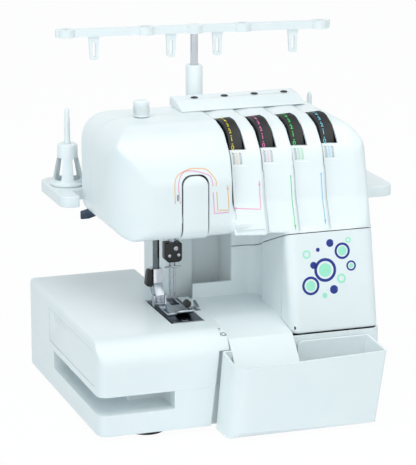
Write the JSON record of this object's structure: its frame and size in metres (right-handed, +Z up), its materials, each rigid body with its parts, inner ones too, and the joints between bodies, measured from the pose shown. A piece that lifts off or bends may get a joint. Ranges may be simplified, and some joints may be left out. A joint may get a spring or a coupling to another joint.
{
  "type": "serger overlock machine",
  "caption": "Serger overlock sewing machine with free arm, tension dials, looper cover, waste tray, spool stand and thread antenna.",
  "frame": {"origin": "on the table, under the middle of the machine's overall box", "axes": "+X to the machine's right, +Y to its back, +Z up; the user sits at -Y"},
  "size_m": [0.341, 0.302, 0.3659],
  "materials": {
    "white_abs": "moulded white ABS, satin gloss",
    "pale_abs": "moulded pale grey ABS, fine texture",
    "black_plastic": "moulded black nylon, satin",
    "rubber": "moulded black rubber, matte",
    "steel": "ground and polished steel",
    "dark_steel": "dark nickel plated steel",
    "cast": "die-cast aluminium, shot blasted",
    "belting": "ribbed drive belt rubber",
    "chrome": "chromed steel rod"
  },
  "bodies": {
    "machine": {"base_casing": "white_abs", "foot_front_left": "rubber", "foot_front_right": "rubber", "foot_rear_left": "rubber", "foot_rear_right": "rubber", "front_housing": "white_abs", "rear_housing": "white_abs", "thread_guide_strip": "white_abs", "take_up_cover": "white_abs", "looper_guard": "white_abs", "free_arm": "pale_abs", "needle_plate": "dark_steel", "machine_frame": "cast", "motor": "dark_steel", "drive_belt": "belting", "tension_rod": "steel", "tension_discs_1": "steel", "tension_discs_2": "steel", "tension_discs_3": "steel", "tension_discs_4": "steel", "lower_knife": "steel", "looper_shaft": "steel", "power_socket": "black_plastic", "spool_stand": "white_abs", "antenna_tube": "white_abs"},
    "extension": {"bed_extension": "white_abs"},
    "door": {"compartment_door": "white_abs"},
    "hinge_rod": {"cover_hinge_rod": "steel"},
    "cover": {"looper_cover": "white_abs"},
    "tray": {"waste_tray": "white_abs"},
    "needle_drive": {"needle_bar": "steel", "needle_clamp": "black_plastic", "needle_left": "steel", "needle_right": "steel"},
    "presser": {"presser_bar": "dark_steel", "presser_ankle": "dark_steel"},
    "sole": {"presser_sole": "dark_steel"},
    "lifter": {"presser_lifter": "dark_steel"},
    "pressure_knob": {"pressure_dial": "white_abs"},
    "dial_1": {"tension_dial_1": "black_plastic"},
    "dial_2": {"tension_dial_2": "black_plastic"},
    "dial_3": {"tension_dial_3": "black_plastic"},
    "dial_4": {"tension_dial_4": "black_plastic"},
    "drive_shaft": {"main_shaft": "steel", "handwheel": "white_abs"},
    "pulley": {"motor_pulley": "steel"},
    "feed_main": {"feed_dog_main": "dark_steel"},
    "feed_differential": {"feed_dog_differential": "dark_steel"},
    "looper_upper": {"upper_looper": "steel"},
    "looper_lower": {"lower_looper": "steel"},
    "knife": {"upper_knife": "steel"},
    "length_knob": {"stitch_length_dial": "pale_abs"},
    "feed_lever": {"differential_feed_lever": "pale_abs"},
    "switch": {"power_switch": "black_plastic"},
    "mast": {"antenna_rod": "chrome"},
    "antenna": {"antenna_bar": "white_abs"},
    "cone_1": {"spool_cone_1": "white_abs"},
    "cone_2": {"spool_cone_2": "white_abs"},
    "cone_3": {"spool_cone_3": "white_abs"},
    "cone_4": {"spool_cone_4": "white_abs"}
  },
  "joints": [
    {"name": "extension_slide", "type": "slide", "parent": "machine", "child": "extension", "axis": [-1, 0, 0], "range_m": [0, 0.11]},
    {"name": "compartment_door", "type": "hinge", "parent": "extension", "child": "door", "pos_m": [-0.1705, -0.00501, 0.0524], "axis": [0, -1, 0], "range_deg": [0, 92]},
    {"name": "cover_release", "type": "slide", "parent": "machine", "child": "hinge_rod", "axis": [1, 0, 0], "range_m": [0, 0.006]},
    {"name": "cover_tilt", "type": "hinge", "parent": "hinge_rod", "child": "cover", "pos_m": [0.0695, -0.09101, 0.092], "axis": [1, 0, 0], "range_deg": [0, 80]},
    {"name": "tray_slide", "type": "slide", "parent": "machine", "child": "tray", "axis": [0, -1, 0], "range_m": [0, 0.07]},
    {"name": "needle_stroke", "type": "slide", "parent": "machine", "child": "needle_drive", "axis": [0, 0, -1], "range_m": [0, 0.024]},
    {"name": "presser_lever", "type": "hinge", "parent": "machine", "child": "lifter", "pos_m": [-0.0865, 0.06899, 0.193], "axis": [0, 1, 0], "range_deg": [0, 60]},
    {"name": "presser_lift", "type": "slide", "parent": "machine", "child": "presser", "axis": [0, 0, 1], "range_m": [0, 0.006]},
    {"name": "sole_rock", "type": "hinge", "parent": "presser", "child": "sole", "pos_m": [-0.0755, 0.00324, 0.1066], "axis": [1, 0, 0], "range_deg": [0, 8]},
    {"name": "pressure_turn", "type": "hinge", "parent": "machine", "child": "pressure_knob", "pos_m": [-0.0875, 0.01999, 0.3], "axis": [0, 0, 1], "range_deg": [-180, 180]},
    {"name": "tension_turn_1", "type": "hinge", "parent": "machine", "child": "dial_1", "pos_m": [-0.0112, -0.01401, 0.2585], "axis": [1, 0, 0], "range_deg": [-130, 130]},
    {"name": "tension_turn_2", "type": "hinge", "parent": "machine", "child": "dial_2", "pos_m": [0.0208, -0.01401, 0.2585], "axis": [1, 0, 0], "range_deg": [-130, 130]},
    {"name": "tension_turn_3", "type": "hinge", "parent": "machine", "child": "dial_3", "pos_m": [0.0528, -0.01401, 0.2585], "axis": [1, 0, 0], "range_deg": [-130, 130]},
    {"name": "tension_turn_4", "type": "hinge", "parent": "machine", "child": "dial_4", "pos_m": [0.0848, -0.01401, 0.2585], "axis": [1, 0, 0], "range_deg": [-130, 130]},
    {"name": "handwheel_turn", "type": "hinge", "parent": "machine", "child": "drive_shaft", "pos_m": [0.1295, 0.06199, 0.118], "axis": [1, 0, 0], "continuous": true},
    {"name": "motor_turn", "type": "hinge", "parent": "machine", "child": "pulley", "pos_m": [0.1155, 0.07499, 0.046], "axis": [1, 0, 0], "continuous": true},
    {"name": "feed_main_stroke", "type": "slide", "parent": "machine", "child": "feed_main", "axis": [0, 1, 0], "range_m": [-0.002, 0.002]},
    {"name": "feed_differential_stroke", "type": "slide", "parent": "machine", "child": "feed_differential", "axis": [0, 1, 0], "range_m": [-0.002, 0.002]},
    {"name": "upper_looper_swing", "type": "hinge", "parent": "machine", "child": "looper_upper", "pos_m": [0.0075, -0.01501, 0.044], "axis": [0, 1, 0], "range_deg": [-8, 8]},
    {"name": "lower_looper_swing", "type": "hinge", "parent": "machine", "child": "looper_lower", "pos_m": [0.0075, 0.00099, 0.044], "axis": [0, 1, 0], "range_deg": [-8, 8]},
    {"name": "knife_stroke", "type": "slide", "parent": "machine", "child": "knife", "axis": [0, 0, -1], "range_m": [0, 0.006]},
    {"name": "stitch_length_turn", "type": "hinge", "parent": "machine", "child": "length_knob", "pos_m": [0.1275, -0.03501, 0.06], "axis": [1, 0, 0], "range_deg": [-135, 135]},
    {"name": "differential_lever", "type": "hinge", "parent": "machine", "child": "feed_lever", "pos_m": [0.1245, 0.00699, 0.058], "axis": [1, 0, 0], "range_deg": [-28, 28]},
    {"name": "power_rocker", "type": "hinge", "parent": "machine", "child": "switch", "pos_m": [0.1175, 0.11199, 0.061], "axis": [0, 1, 0], "range_deg": [0, 8]},
    {"name": "mast_lower", "type": "slide", "parent": "machine", "child": "mast", "axis": [0, 0, -1], "range_m": [0, 0.027]},
    {"name": "antenna_turn", "type": "hinge", "parent": "mast", "child": "antenna", "pos_m": [-0.0105, 0.08599, 0.362], "axis": [0, 0, 1], "range_deg": [-45, 45]},
    {"name": "cone_lift_1", "type": "slide", "parent": "machine", "child": "cone_1", "axis": [0, 0, 1], "range_m": [0, 0.08]},
    {"name": "cone_lift_2", "type": "slide", "parent": "machine", "child": "cone_2", "axis": [0, 0, 1], "range_m": [0, 0.08]},
    {"name": "cone_lift_3", "type": "slide", "parent": "machine", "child": "cone_3", "axis": [0, 0, 1], "range_m": [0, 0.08]},
    {"name": "cone_lift_4", "type": "slide", "parent": "machine", "child": "cone_4", "axis": [0, 0, 1], "range_m": [0, 0.08]}
  ],
  "couplings": [
    {"joint": "motor_turn", "follows": "handwheel_turn", "ratio": 3.1429},
    {"joint": "presser_lift", "follows": "presser_lever", "m_per_rad": 0.005539},
    {"joint": "sole_rock", "follows": "presser_lever", "ratio": 0.083333},
    {"joint": "feed_differential_stroke", "follows": "feed_main_stroke", "ratio": 0.7}
  ]
}
